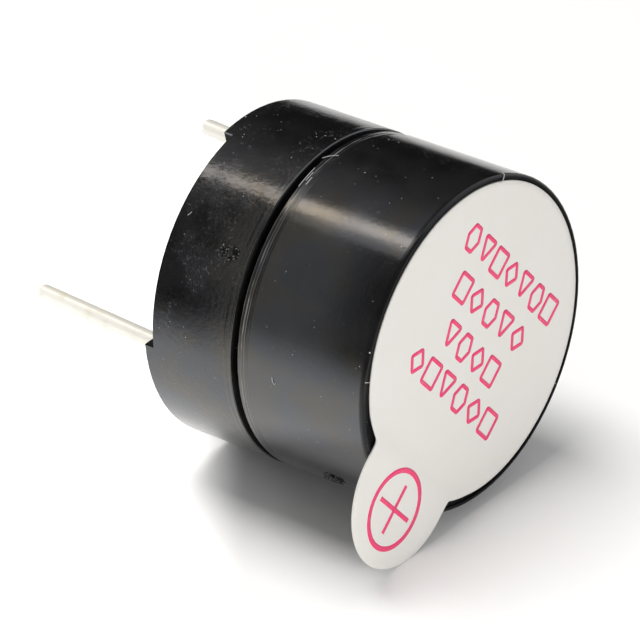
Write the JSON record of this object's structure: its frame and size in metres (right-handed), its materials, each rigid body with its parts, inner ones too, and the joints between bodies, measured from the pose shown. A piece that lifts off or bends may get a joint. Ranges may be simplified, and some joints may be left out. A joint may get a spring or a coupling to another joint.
{
  "type": "electronic buzzer",
  "caption": "Round through-hole electromagnetic buzzer in a split black case, with a peel-off seal label and pull tab over its sound hole and a long and a short pin.",
  "frame": {"origin": "middle of the seating plane, which is the circle on which both standoffs end", "axes": "+Z along the case axis towards the sound hole and the label; the pins lie on the Y axis, the plus pin at +Y"},
  "size_m": [0.012, 0.0142, 0.0179],
  "materials": {
    "case_plastic": "satin moulded",
    "label_film": "smooth film",
    "diaphragm_steel": "rolled",
    "weight_steel": "plated",
    "ferrite": "ground",
    "enamelled_wire": "enamelled copper",
    "pole_steel": "zinc plated",
    "board": "bare laminate",
    "copper": "etched copper",
    "chip_plastic": "moulded",
    "chip_ceramic": "fired",
    "tin_plate": "tinned",
    "solder": "flowed solder",
    "pin_tin": "bright tin",
    "potting_resin": "cured resin"
  },
  "bodies": {
    "root": {"upper_shell": "case_plastic", "lower_shell": "case_plastic", "seal_label": "label_film", "diaphragm": "diaphragm_steel", "diaphragm_weight": "weight_steel", "ring_magnet": "ferrite", "coil": "enamelled_wire", "core_pole": "pole_steel", "yoke_plate": "pole_steel", "circuit_board": "board", "copper_tracks": "copper", "transistor_body": "chip_plastic", "transistor_leads": "tin_plate", "resistor_body": "chip_ceramic", "resistor_caps": "tin_plate", "coil_leads": "enamelled_wire", "lead_solder": "solder", "positive_pin": "pin_tin", "negative_pin": "pin_tin", "pin_solder": "solder", "potting": "potting_resin"}
  },
  "joints": []
}
